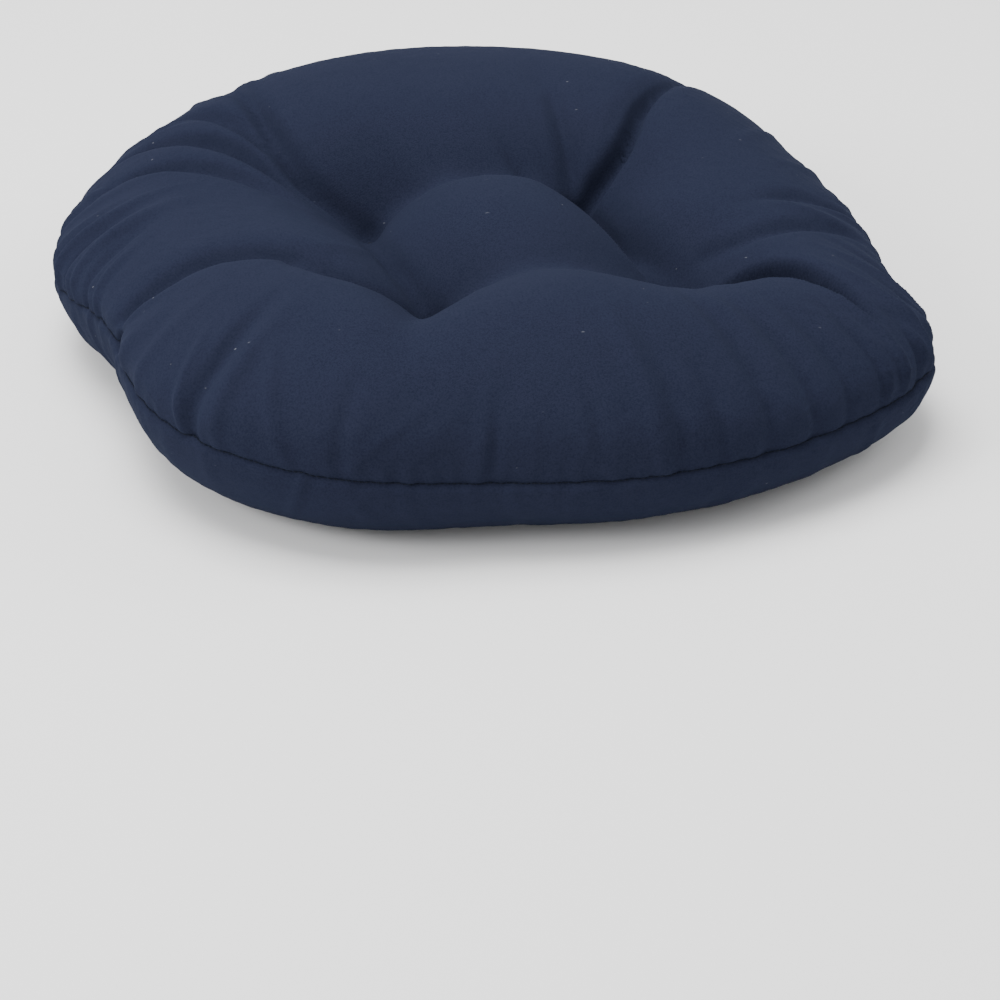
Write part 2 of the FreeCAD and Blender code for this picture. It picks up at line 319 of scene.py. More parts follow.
def lower_panel(ring, bearing):
    quarter = np.linspace(0, math.pi / 2, 200)
    r = np.concatenate([[0], 1 - FOOT_ROLL / RIM * (1 - np.sin(quarter))])
    z = np.concatenate([[1], np.cos(quarter)])
    share = section(r, z, RIM, SEAM)
    seam = SEAM + around(SEAM_SWAY, bearing)
    radius = (RIM + around(OUTLINE, bearing)) * np.interp(ring, share, r)
    return polar(radius, bearing, seam * (1 - np.interp(ring, share, z)))


def puff(t):
    """Depth of a valley at a share of its half width: a sharp floor between rounded puffs."""
    return 1 - (1 - (1 - np.clip(t, 0, 1)) ** 2) ** PUFF_POWER


def press_valleys(co, quads):
    """Pull the upper panel down along the valleys and at the tufts."""
    plan = co[:, :2]
    depth = np.zeros(len(co))
    for rows in VALLEYS:
        line = spline(rows)
        away = np.linalg.norm(plan[:, None] - line[None, :, :2], axis=2)
        valley = (line[:, 2] * puff(away / line[:, 3])).max(1)
        depth = (depth**VALLEY_BLEND + valley**VALLEY_BLEND) ** (1 / VALLEY_BLEND)
    for place in TUFTS.values():
        away = np.hypot(*(plan - place).T)
        depth += TUFT_DEPTH * np.exp((TUFT_ROUND - np.hypot(away, TUFT_ROUND)) / TUFT_FLARE)
    side = int(round(math.sqrt(len(co))))
    depth = depth.reshape(side, side)
    for _ in range(PRESS_SMOOTHING):
        beside = depth[:-2, 1:-1] + depth[2:, 1:-1] + depth[1:-1, :-2] + depth[1:-1, 2:]
        depth[1:-1, 1:-1] = 0.5 * depth[1:-1, 1:-1] + 0.125 * beside
    lean = smooth((np.hypot(*(plan - MIDDLE).T) - LEAN_START) / LEAN_FADE)[:, None]
    along = (1 - lean) * np.array([0, 0, 1.0]) + lean * normals(co, quads)
    return co - depth.reshape(-1, 1) * along


def lift_tufts(co):
    """Pull the lower panel up at the tufts."""
    for place in TUFTS.values():
        away = np.hypot(*(co[:, :2] - place).T)
        co[:, 2] += UNDER_DEPTH * np.exp((UNDER_ROUND - np.hypot(away, UNDER_ROUND)) / UNDER_FLARE)
    return co


def link(name, co, faces, smooth_faces=True):
    """New object from points in millimetres."""
    mesh = bpy.data.meshes.new(name)
    mesh.from_pydata((np.asarray(co) * MM).tolist(), [], [list(map(int, f)) for f in faces])
    mesh.update()
    mesh.polygons.foreach_set("use_smooth", [smooth_faces] * len(mesh.polygons))
    piece = bpy.data.objects.new(name, mesh)
    bpy.context.scene.collection.objects.link(piece)
    return piece


SIM_FRAMES = 15
RIM_EXCESS = 0.06  # the panels are cut this much wider than the outline they are stuffed to
HOLD = 0.1  # how firmly the filling holds the cloth to its form
HELD_RADIUS = 6.0  # cloth that a tuft holds still
SLACK_NOISE = 0.15
NOISE_START = 0.3
EXCESS_START = 0.55
EXCESS_FADE = 0.4
MOST_MOVED = 8.0


def settle(co, quads, ring, rng):
    """Let the cover settle over its filling as cloth, and return the settled points."""
    start = co + rng.normal(0, SLACK_NOISE, co.shape) * (ring > NOISE_START)[:, None]
    rest = co.copy()
    wider = 1 + RIM_EXCESS * smooth((ring - EXCESS_START) / EXCESS_FADE)
    rest[:, :2] = MIDDLE + (co[:, :2] - MIDDLE) * wider[:, None]
    cloth_piece = link("settling", start, quads)
    cloth_piece.shape_key_add(name="start")
    key = cloth_piece.shape_key_add(name="rest")
    key.data.foreach_set("co", (rest * MM).ravel())
    key.value = 0
    held = np.zeros(len(co), bool)
    for place in TUFTS.values():
        held |= np.hypot(*(co[:, :2] - place).T) < HELD_RADIUS
    group = cloth_piece.vertex_groups.new(name="hold")
    group.add(np.flatnonzero(~held).tolist(), HOLD, "REPLACE")
    group.add(np.flatnonzero(held).tolist(), 1.0, "REPLACE")
    modifier = cloth_piece.modifiers.new("Cloth", "CLOTH")
    cloth = modifier.settings
    cloth.quality = 5
    cloth.mass = 0.3
    cloth.tension_stiffness = cloth.compression_stiffness = 15
    cloth.shear_stiffness = 5
    cloth.bending_stiffness = 1.5
    cloth.use_pressure = True
    cloth.uniform_pressure_force = 3
    cloth.effector_weights.gravity = 0
    cloth.vertex_group_mass = "hold"
    cloth.pin_stiffness = 1
    cloth.rest_shape_key = key
    modifier.collision_settings.use_collision = False
    modifier.point_cache.frame_end = SIM_FRAMES
    for number in range(1, SIM_FRAMES + 1):
        bpy.context.scene.frame_set(number)
    evaluated = cloth_piece.evaluated_get(bpy.context.evaluated_depsgraph_get())
    moved = np.zeros(len(co) * 3, np.float32)
    evaluated.data.vertices.foreach_get("co", moved)
    mesh = cloth_piece.data
    bpy.data.objects.remove(cloth_piece)
    bpy.data.meshes.remove(mesh)
    bpy.context.scene.frame_set(1)
    shift = moved.reshape(-1, 3).astype(float) / MM - co
    far = np.linalg.norm(shift, axis=1, keepdims=True)
    return co + shift * np.minimum(1, MOST_MOVED / np.maximum(far, 1e-9))


def finer(grid):
    """One Catmull-Clark step on a square grid of points, with the rim as a curve of its own."""
    for _ in range(2):
        fine = np.empty((2 * grid.shape[0] - 1, *grid.shape[1:]))
        fine[::2] = grid
        fine[2:-1:2] = (grid[:-2] + 6 * grid[1:-1] + grid[2:]) / 8
        fine[1::2] = (grid[:-1] + grid[1:]) / 2
        grid = fine.swapaxes(0, 1)
    return grid


def scattered(zones, rng):
    """Fold rows spread at random over the zones."""
    rows = []
    for first, last, number, reach, height, towards in zones:
        pitch = (last - first) / number
        for i in range(number):
            seam_bearing = first + pitch * (i + rng.uniform(*GATHER_PLACE))
            far_bearing = seam_bearing if towards is None else towards
            turn = (far_bearing - seam_bearing + 180) % 360 - 180
            end = seam_bearing + GATHER_TURN * turn + rng.uniform(-GATHER_WANDER, GATHER_WANDER)
            length = reach * rng.uniform(*GATHER_LENGTH)
            peak = height * rng.uniform(*GATHER_HEIGHT)
            rows.append((seam_bearing, end, length, peak, rng.uniform(*GATHER_WIDTH)))
    return rows


def folds(flat, rows):
    """Height of soft folds that start at the seam, over flat panel positions."""
    rise = np.zeros(len(flat))
    t = np.linspace(0, 1, FOLD_POINTS)
    risen = FOLD_AT_SEAM + (1 - FOLD_AT_SEAM) * smooth(t / FOLD_RISEN)
    fade = risen * (1 - smooth((t - FOLD_FADES) / (1 - FOLD_FADES)))
    for seam_bearing, end, length, peak, width in rows:
        bearing = np.radians(seam_bearing + (end - seam_bearing) * t**FOLD_CURVE)
        ring = FLAT * (1 - length * t)
        line = np.stack([ring * np.cos(bearing), ring * np.sin(bearing)], 1)
        near = np.hypot(*(flat - line[FOLD_POINTS // 2]).T) < FLAT * length + FOLD_MARGIN
        away = np.linalg.norm(flat[near][:, None] - line[None], axis=2)
        nearest = away.argmin(1)
        away = away.min(1)
        ridge = np.exp(-((away / width) ** 2))
        ridge -= TROUGH * np.exp(-((away / width / TROUGH_WIDTH) ** 2))
        rise[near] += peak * fade[nearest] * ridge
    return rise


def crease_depth(co):
    """Depth of the sharp creases at points of the upper panel."""
    depth = np.zeros(len(co))
    for rows in CREASES:
        line = spline(rows, CREASE_STEP)
        room = np.ptp(line[:, :2], 0) / 2 + 3 * line[:, 3].max()
        near = (abs(co[:, :2] - line[:, :2].mean(0)) < room).all(1)
        away = np.linalg.norm(co[near][:, None, :2] - line[None, :, :2], axis=2)
        cut = (line[:, 2] * (1 - np.clip(away / line[:, 3], 0, 1)) ** CREASE_SHARPNESS).max(1)
        depth[near] = np.maximum(depth[near], cut)
    return depth


def dress(co, quads, ring, bearing, zones, rng):
    """Height and direction of gathers, creases, seam puckers and the seam's own groove."""
    share = ring_share(ring)
    flat = FLAT * share[:, None] * np.stack([np.cos(bearing), np.sin(bearing)], 1)
    rise = folds(flat, scattered(zones, rng) + (FOLDS if zones is GATHERS else []))
    from_seam = FLAT * (1 - share)
    waves = [
        (rng.integers(*PUCKER_TURNS), rng.uniform(0, math.tau), rng.uniform(*PUCKER_HEIGHTS))
        for _ in range(PUCKERS)
    ]
    pucker = sum(size * np.sin(number * bearing + phase) for number, phase, size in waves)
    rise += pucker * np.exp(-((from_seam / PUCKER_REACH) ** 2))
    rise -= GROOVE * np.exp(-((from_seam / GROOVE_WIDTH) ** 2))
    if zones is GATHERS:
        rise -= crease_depth(co)
        for place in TUFTS.values():
            rise -= PINCH * np.exp(-(((co[:, :2] - place) ** 2).sum(1) / PINCH_WIDTH**2))
    return rise, normals(co, quads)


rng = np.random.default_rng(SEED)
side = 2 * CELLS + 1
ring, bearing = square_grid(CELLS)
ring, bearing = ring.ravel(), bearing.ravel()
share = ring_share(ring)
quads = grid_quads(side)
inner = np.flatnonzero(ring < 1 - 1e-9)
below = np.arange(side * side)
below[inner] = side * side + np.arange(len(inner))

upper = press_valleys(upper_panel(share, bearing), quads)
lower = lift_tufts(lower_panel(share, bearing))
whole = np.vstack([upper, lower[inner]])
whole_quads = np.vstack([quads, below[quads[:, ::-1]]])
whole = settle(whole, whole_quads, np.concatenate([share, share[inner]]), rng)
upper, lower = whole[: side * side], whole[below]
lower[:, 2] = np.maximum(lower[:, 2], 0)

fine_side = 2 * side - 1
fine_ring, fine_bearing = (g.ravel() for g in square_grid(2 * CELLS))
fine_quads = grid_quads(fine_side)
loop = rim_loop(fine_side)

# Filling: a lumpy copy of both panels under the cloth, notched round the seam allowance.
FILL_GAP = 1.6
FILL_LUMP = 1.4
FILL_INSET = 3.0
FILL_CLEAR = 0.4  # over the lower cloth where it lies flat
NOTCH = ALLOWANCE + 3.0
NOTCH_HEIGHT = 2.2
LUMPS = 5
LUMP_FREQUENCY = 0.12
FOLD_CELLS = 3  # the filling keeps under the lowest cloth within this many grid cells


def lowest_near(grid, reach=FOLD_CELLS):
    """Lowest value within reach cells of each cell."""
    for _ in range(2):
        padded = np.pad(grid, ((reach, reach), (0, 0)), "edge")
        grid = np.min([padded[i : i + len(grid)] for i in range(2 * reach + 1)], axis=0).T
    return grid


def panel_surface(grid_points, zones, flip):
    """A fine panel, and the side of the filling that lies under it."""
    fine = finer(grid_points.reshape(side, side, 3)).reshape(-1, 3)
    faces = fine_quads[:, ::-1] if flip else fine_quads
    rise, along = dress(fine, faces, fine_ring, fine_bearing, zones, rng)
    lumps = sum(
        np.sin(fine @ rng.normal(0, LUMP_FREQUENCY, 3) + rng.uniform(0, math.tau))
        for _ in range(LUMPS)
    ) / LUMPS
    lowest = lowest_near(rise.reshape(fine_side, fine_side)).ravel()
    under = fine + (lowest - FILL_GAP - FILL_LUMP * (1 + lumps) / 2)[:, None] * along
    under = under.reshape(fine_side, fine_side, 3)[::2, ::2].reshape(-1, 3)
    return fine + rise[:, None] * along, under


upper_fine, fill_top = panel_surface(upper, GATHERS, False)
lower_fine, fill_under = panel_surface(lower, UNDER_GATHERS, True)
lower_fine[:, 2] = np.maximum(lower_fine[:, 2], 0)
# Both panels meet at the stitches, at the bottom of the groove.
seam_line = (upper_fine[loop] + lower_fine[loop]) / 2
upper_fine[loop] = lower_fine[loop] = seam_line
seam_bearing = fine_bearing[loop]
inward = -np.stack([np.cos(seam_bearing), np.sin(seam_bearing), 0 * seam_bearing], 1)


def shell(co, faces, thickness):
    """Closed shell: the surface, its copy moved inward, and walls along the open edges."""
    faces = np.asarray(faces)
    inside = co - thickness * normals(co, faces)
    edges = np.vstack([faces[:, [i, (i + 1) % 4]] for i in range(4)])
    keys = np.sort(edges, axis=1) @ [1, len(co)]
    _, first, count = np.unique(keys, return_index=True, return_counts=True)
    open_edges = edges[first[count == 1]]
    a, b = open_edges.T
    walls = np.stack([b, a, a + len(co), b + len(co)], 1)
    return np.vstack([co, inside]), np.vstack([faces, faces[:, ::-1] + len(co), walls])


TURNED = (1.2, 4.0, ALLOWANCE - STITCH_INSET)  # rows of points across the seam allowance
TURNED_APART = 0.05  # half the gap between the two allowances


def cover(name, points, flip):
    """One panel with its seam allowance turned inside."""
    lift = -TURNED_APART if flip else TURNED_APART
    turned = [seam_line + reach * inward + [0, 0, lift] for reach in TURNED]
    count = len(loop)
    co = np.vstack([points, *turned])
    starts = [loop] + [len(points) + count * i + np.arange(count) for i in range(len(TURNED))]
    strips = [
        np.stack([a, np.roll(a, -1), np.roll(b, -1), b], 1) for a, b in zip(starts, starts[1:])
    ]
    faces = np.vstack([fine_quads, *[s[:, ::-1] for s in strips]])
    if flip:
        faces = faces[:, ::-1]
    piece = link(name, *shell(co, faces, FABRIC))
    share = ring_share(fine_ring)
    flat = FLAT * MM * share[:, None] * np.stack([np.cos(fine_bearing), np.sin(fine_bearing)], 1)
    edge = flat[loop]
    rows = [edge * (1 + reach / FLAT) for reach in TURNED]
    layout = np.vstack([flat, *rows] * 2)
    uv = piece.data.uv_layers.new(name="cloth")
    corner = np.zeros(len(piece.data.loops), np.int32)
    piece.data.loops.foreach_get("vertex_index", corner)
    uv.data.foreach_set("uv", layout[corner].astype(np.float32).ravel())
    return piece


top_cover = cover("twill_top", upper_fine, False)
bottom_cover = cover("twill_bottom", lower_fine, True)


def at_panel(grid_points, share_in, bearing_at):
    """Point of a fine panel at a ring share and a bearing in radians."""
    cells = 2 * CELLS
    turn = np.mod(bearing_at + math.pi / 4, math.tau) - math.pi / 4
    octant = turn / (math.pi / 4)
    quadrant = np.floor((octant + 1) / 2).astype(int) % 4
    across = octant - 2 * quadrant
    a = np.choose(quadrant, [share_in, -share_in * across, -share_in, share_in * across])
    b = np.choose(quadrant, [share_in * across, share_in, -share_in * across, -share_in])
    u = np.clip((a + 1) * cells, 0, 2 * cells - 1e-6)
    v = np.clip((b + 1) * cells, 0, 2 * cells - 1e-6)
    i, j = u.astype(int), v.astype(int)
    s, t = (u - i)[..., None], (v - j)[..., None]
    g = grid_points.reshape(fine_side, fine_side, 3)
    low = g[i, j] * (1 - s) + g[i + 1, j] * s
    high = g[i, j + 1] * (1 - s) + g[i + 1, j + 1] * s
    return low * (1 - t) + high * t


DOWN_POINTS = 160
DOWN_END = 0.5  # ring share at which the path below stops


def down_panel(grid_points, bearing_at, lengths):
    """Points at lengths along a panel, measured from the seam towards its middle."""
    shares = np.linspace(1, DOWN_END, DOWN_POINTS)
    path = at_panel(grid_points, shares, np.full(DOWN_POINTS, bearing_at))
    run = run_along(path)
    return np.stack([np.interp(lengths, run, path[:, i]) for i in range(3)], 1)


def tube(path, radius, sides=8, closed=False):
    """Round tube along a path, as points and faces."""
    path = np.asarray(path, float)
    if closed:
        tangent = np.roll(path, -1, 0) - np.roll(path, 1, 0)
    else:
        tangent = np.gradient(path, axis=0)
    tangent /= np.linalg.norm(tangent, axis=1, keepdims=True)
    guide = np.array([0.31, 0.17, 0.93])  # any direction that the path doesn't take
    if abs(tangent @ guide).max() > 0.98:
        guide = np.array([0.9, -0.4, 0.1])
    normal = np.cross(tangent, guide)
    normal /= np.linalg.norm(normal, axis=1, keepdims=True)
    other = np.cross(tangent, normal)
    turn = np.linspace(0, math.tau, sides, endpoint=False)
    across = np.cos(turn)[None, :, None] * normal[:, None]
    along = np.sin(turn)[None, :, None] * other[:, None]
    rings = path[:, None] + radius * (across + along)
    n = len(path)
    faces = []
    for i in range(n if closed else n - 1):
        a, b = i * sides, (i + 1) % n * sides
        faces += [(a + k, a + (k + 1) % sides, b + (k + 1) % sides, b + k) for k in range(sides)]
    if not closed:
        faces += [tuple(range(sides))[::-1], tuple(range((n - 1) * sides, n * sides))]
    return rings.reshape(-1, 3), faces


def gathered(name, parts):
    """One object from several (points, faces) pairs."""
    co, faces, used = [], [], 0
    for points, part_faces in parts:
        co.append(points)
        faces += [tuple(used + int(k) for k in f) for f in part_faces]
        used += len(points)
    return link(name, np.vstack(co), faces)


coarse_loop = rim_loop(side)
coarse_seam = seam_line[::2]
coarse_inward = inward[::2]
fill_top[coarse_loop] = coarse_seam + FILL_INSET * coarse_inward + [0, 0, NOTCH_HEIGHT]
fill_under[coarse_loop] = coarse_seam + FILL_INSET * coarse_inward - [0, 0, NOTCH_HEIGHT]
fill_under[:, 2] = np.maximum(fill_under[:, 2], FABRIC + FILL_CLEAR)
notch_top = fill_top[coarse_loop] + NOTCH * coarse_inward
notch_under = fill_under[coarse_loop] + NOTCH * coarse_inward
count, half_count = len(coarse_loop), side * side
fill_co = np.vstack([fill_top, fill_under, notch_top, notch_under])
notch_rows = 2 * half_count + np.arange(count)
starts = [coarse_loop, notch_rows, notch_rows + count, half_count + coarse_loop]
fill_faces = [quads, quads[:, ::-1] + half_count]
for a, b in zip(starts, starts[1:]):
    fill_faces.append(np.stack([a, b, np.roll(b, -1), np.roll(a, -1)], 1))
filling = link("fibre_filling", fill_co, np.vstack(fill_faces))

# Threads that follow the seam.
STITCH = 3.0
THREAD = 0.28
STITCH_SHARES = np.array([0.04, 0.16, 0.5, 0.84, 0.96])  # points along one stitch
STITCH_BOW = np.array([-0.5, 0.12, 0.3, 0.12, -0.5])[:, None]  # and how far out they lie
closed_seam = np.vstack([seam_line, seam_line[:1]])
seam_run = run_along(closed_seam)


def on_seam(lengths):
    """Points at lengths along the seam."""
    at = np.mod(lengths, seam_run[-1])
    return np.stack([np.interp(at, seam_run, closed_seam[:, i]) for i in range(3)], -1)


def seam_out(lengths):
    """Unit vector away from the cushion at points along the seam."""
    out = on_seam(lengths)[..., :2] - MIDDLE
    out /= np.linalg.norm(out, axis=-1, keepdims=True)
    return np.concatenate([out, np.zeros((*out.shape[:-1], 1))], -1)


stitch_count = round(seam_run[-1] / STITCH)
pitch = seam_run[-1] / stitch_count
stitches = []
for i in range(stitch_count):
    s = pitch * (i + STITCH_SHARES)
    stitches.append(tube(on_seam(s) + STITCH_BOW * seam_out(s), THREAD, 6))
seam_stitches = gathered("seam_stitches", stitches)

OVERLOCK_PITCH = 3.2
OVERLOCK_POINTS = 12  # in one turn
OVERLOCK_INSET = 1.2  # from the raw edge to the middle of the wrap
OVERLOCK_HALF = 1.9
OVERLOCK_THREAD = 0.2
OVERLOCK_STAND = 0.4  # off the cloth, above and below
turns = round(seam_run[-1] / OVERLOCK_PITCH)
s = np.linspace(0, seam_run[-1], turns * OVERLOCK_POINTS, endpoint=False)
angle = np.linspace(0, math.tau * turns, turns * OVERLOCK_POINTS, endpoint=False)
raw_edge = on_seam(s) - (ALLOWANCE - STITCH_INSET - OVERLOCK_INSET) * seam_out(s)
wrap = raw_edge - OVERLOCK_HALF * np.cos(angle)[:, None] * seam_out(s)
wrap += np.outer(np.sin(angle), [0, 0, FABRIC + OVERLOCK_STAND])
overlock = gathered("overlock_stitches", [tube(wrap, OVERLOCK_THREAD, 5, closed=True)])

# Closing stitches over the seam at the back, and the blank label near them.
CLOSING_BEARING = 90.0
CLOSING_LENGTH = 150.0
CLOSING_COUNT = 25
CLOSING_REACH = 3.6
CLOSING_SLANT = 2.0
CLOSING_STEPS = np.array([1.2, CLOSING_REACH, CLOSING_REACH + 0.8])  # from the seam
CLOSING_STAND = [0.35, 0.3, -0.5]  # off the cloth at those steps; the end dips in
CLOSING_THREAD = 0.36
from_back = abs(np.mod(seam_bearing, math.tau) - math.radians(CLOSING_BEARING))
middle_of_back = seam_run[np.argmin(from_back)]
closing = []
for i in range(CLOSING_COUNT):
    s = middle_of_back + CLOSING_LENGTH * (i / (CLOSING_COUNT - 1) - 0.5)
    ends = []
    for surface, slant in ((upper_fine, -CLOSING_SLANT), (lower_fine, CLOSING_SLANT)):
        place = on_seam(np.array([s + slant]))[0, :2] - MIDDLE
        line = down_panel(surface, math.atan2(place[1], place[0]), CLOSING_STEPS)
        line += np.outer(CLOSING_STAND, seam_out(np.array([s]))[0])
        ends.append(line)
    path = np.vstack([ends[0][::-1], ends[1]])
    closing.append(tube(path, CLOSING_THREAD, 8))
closing_stitches = gathered("closing_ladder", closing)

LABEL_BEARING = math.radians(118.0)
LABEL_WIDTH = 38.0
LABEL_LENGTH = 50.0
LABEL_THICKNESS = 0.4
LABEL_STAND = 0.7
LABEL_START = 0.8  # from the seam
LABEL_CURL = 1.5  # how far its free end lifts off the cover
LABEL_RIPPLE = 0.5
LABEL_DIP = 0.2
LABEL_COLUMNS = 20
LABEL_ROWS = 26
middle_lengths = np.linspace(LABEL_START, LABEL_LENGTH + LABEL_START, LABEL_ROWS)
label_rows = down_panel(lower_fine, LABEL_BEARING, middle_lengths)
label_radius = np.hypot(*(label_rows[:, :2] - MIDDLE).T)
offsets = np.linspace(-0.5, 0.5, LABEL_COLUMNS)
columns = []
for offset in offsets:
    column = []
    for length, radius in zip(middle_lengths, label_radius):
        turned = LABEL_BEARING + offset * LABEL_WIDTH / radius
        column.append(down_panel(lower_fine, turned, np.array([length]))[0])
    columns.append(column)
label_grid = np.array(columns)
index = np.arange(LABEL_COLUMNS * LABEL_ROWS).reshape(LABEL_COLUMNS, LABEL_ROWS)
corners = [index[:-1, :-1], index[:-1, 1:], index[1:, 1:], index[1:, :-1]]
label_quads = np.stack(corners, -1).reshape(-1, 4)
label_co = label_grid.reshape(-1, 3)
outward = normals(label_co, label_quads)
down_share = np.tile(np.linspace(0, 1, LABEL_ROWS), LABEL_COLUMNS)
across_share = np.repeat(offsets, LABEL_ROWS)
ripple = np.sin(7 * across_share + 5 * down_share) * smooth(down_share / 0.4)
curl = LABEL_CURL * down_share**3 + LABEL_RIPPLE * ripple
label_co = label_co + (LABEL_STAND + np.maximum(curl, -LABEL_DIP))[:, None] * outward
label = link("blank_label", *shell(label_co, label_quads, LABEL_THICKNESS))

# Tuft twine: a bight over the top, two legs, a trefoil knot and two tails underneath.
TWINE = 0.8
SPREAD = 2.4
BIGHT_HEIGHT = 0.8
KNOT_SIZE = 1.15
KNOT_DROP = 3.6
TAIL = 11.0
TAIL_SAG = 1.2
TAIL_SWAY = 0.6
TAIL_WAVE = 2.5
TAIL_BEARINGS = (60, 215)
twines = {}
for name, place in TUFTS.items():
    place = np.array(place, float)
    top_z, under_z = (
        surface[np.argmin(np.hypot(*(surface[:, :2] - place).T)), 2]
        for surface in (upper_fine, lower_fine)
    )
    half_turn = np.linspace(0, math.pi, 13)
    bight_z = top_z + BIGHT_HEIGHT * np.sin(half_turn)
    bight = np.stack([-SPREAD * np.cos(half_turn), 0 * half_turn, bight_z], 1)
    knot_z = under_z - KNOT_DROP
    leg = np.linspace(knot_z, top_z, 12)[:-1]
    left = np.stack([0 * leg - SPREAD, 0 * leg, leg], 1)
    right = np.stack([0 * leg + SPREAD, 0 * leg, leg], 1)[::-1]
    strand = np.vstack([left, bight, right])
    t = np.linspace(0, math.tau, 60, endpoint=False)
    knot = KNOT_SIZE * np.stack(
        [np.sin(t) + 2 * np.sin(2 * t), np.cos(t) - 2 * np.cos(2 * t), -1.2 * np.sin(3 * t)], 1
    ) + [0, 0, knot_z]
    parts = [tube(strand, TWINE, 8), tube(knot, TWINE, 8, closed=True)]
    for tail_bearing in TAIL_BEARINGS:
        lie = math.radians(tail_bearing)
        out = np.linspace(1.5, TAIL, 9)
        sag = -TAIL_SAG * (out / TAIL) ** 2
        sideways = out * math.sin(lie) + TAIL_SWAY * np.sin(out / TAIL_WAVE)
        path = np.stack([out * math.cos(lie), sideways, knot_z + sag], 1)
        parts.append(tube(path, TWINE, 8))
    placed = [(points + [*place, 0], faces) for points, faces in parts]
    twines[name] = gathered(f"twine_{name}", placed)


def material(name, color, roughness, build=None, sheen=0.0, gloss=0.25):
    """Principled material; build(tree, shader) adds its procedural detail."""
    made = bpy.data.materials.new(name)
    made.use_nodes = True
    shader = made.node_tree.nodes["Principled BSDF"]
    shader.inputs["Base Color"].default_value = (*color, 1)
    shader.inputs["Roughness"].default_value = roughness
    shader.inputs["Specular IOR Level"].default_value = gloss
    shader.inputs["Sheen Weight"].default_value = sheen
    shader.inputs["Sheen Roughness"].default_value = 0.55
    if build:
        build(made.node_tree, shader)
    return made


def node(tree, kind, **values):
    made = tree.nodes.new(kind)
    for key, value in values.items():
        socket = key.replace("_", " ").title()
        if hasattr(made, key):
            setattr(made, key, value)
        else:
            made.inputs[socket].default_value = value
    return made


def mix(tree, factor, a, b, blend="MIX"):
    """Colour mix of two sockets or colours."""
    made = tree.nodes.new("ShaderNodeMix")
    made.data_type = "RGBA"
    made.blend_type = blend
    for socket, value in ((made.inputs[0], factor), (made.inputs[6], a), (made.inputs[7], b)):
        if isinstance(value, bpy.types.NodeSocket):
            tree.links.new(value, socket)
        else:
            socket.default_value = value if isinstance(value, (int, float)) else (*value, 1)
    return made.outputs[2]


def ramp(tree, source, low, high, dark=0.0, light=1.0):
    made = tree.nodes.new("ShaderNodeMapRange")
    tree.links.new(source, made.inputs["Value"])
    made.inputs["From Min"].default_value = low
    made.inputs["From Max"].default_value = high
    made.inputs["To Min"].default_value = dark
    made.inputs["To Max"].default_value = light
    made.clamp = True
    return made.outputs["Result"]


def bump(tree, height, strength, distance, under=None):
    made = node(tree, "ShaderNodeBump", Strength=strength, Distance=distance)
    tree.links.new(height, made.inputs["Height"])
    if under:
        tree.links.new(under, made.inputs["Normal"])
    return made.outputs["Normal"]


NAVY = (0.0108, 0.0131, 0.0262)
WORN_NAVY = (0.0162, 0.0189, 0.0354)
DEEP_NAVY = (0.0064, 0.0080, 0.0168)
LINT = (0.11, 0.115, 0.13)
COOL_SHEEN = (0.45, 0.58, 0.95, 1)
THREAD_NAVY = (0.0050, 0.0068, 0.0140)
TWINE_NAVY = (0.0055, 0.0070, 0.0140)
RIBBON_WHITE = (0.52, 0.51, 0.48)
FIBRE_WHITE = (0.82, 0.82, 0.80)
PALE_FLOOR = (0.86, 0.86, 0.86)
TWILL_SLOPE = math.radians(63)


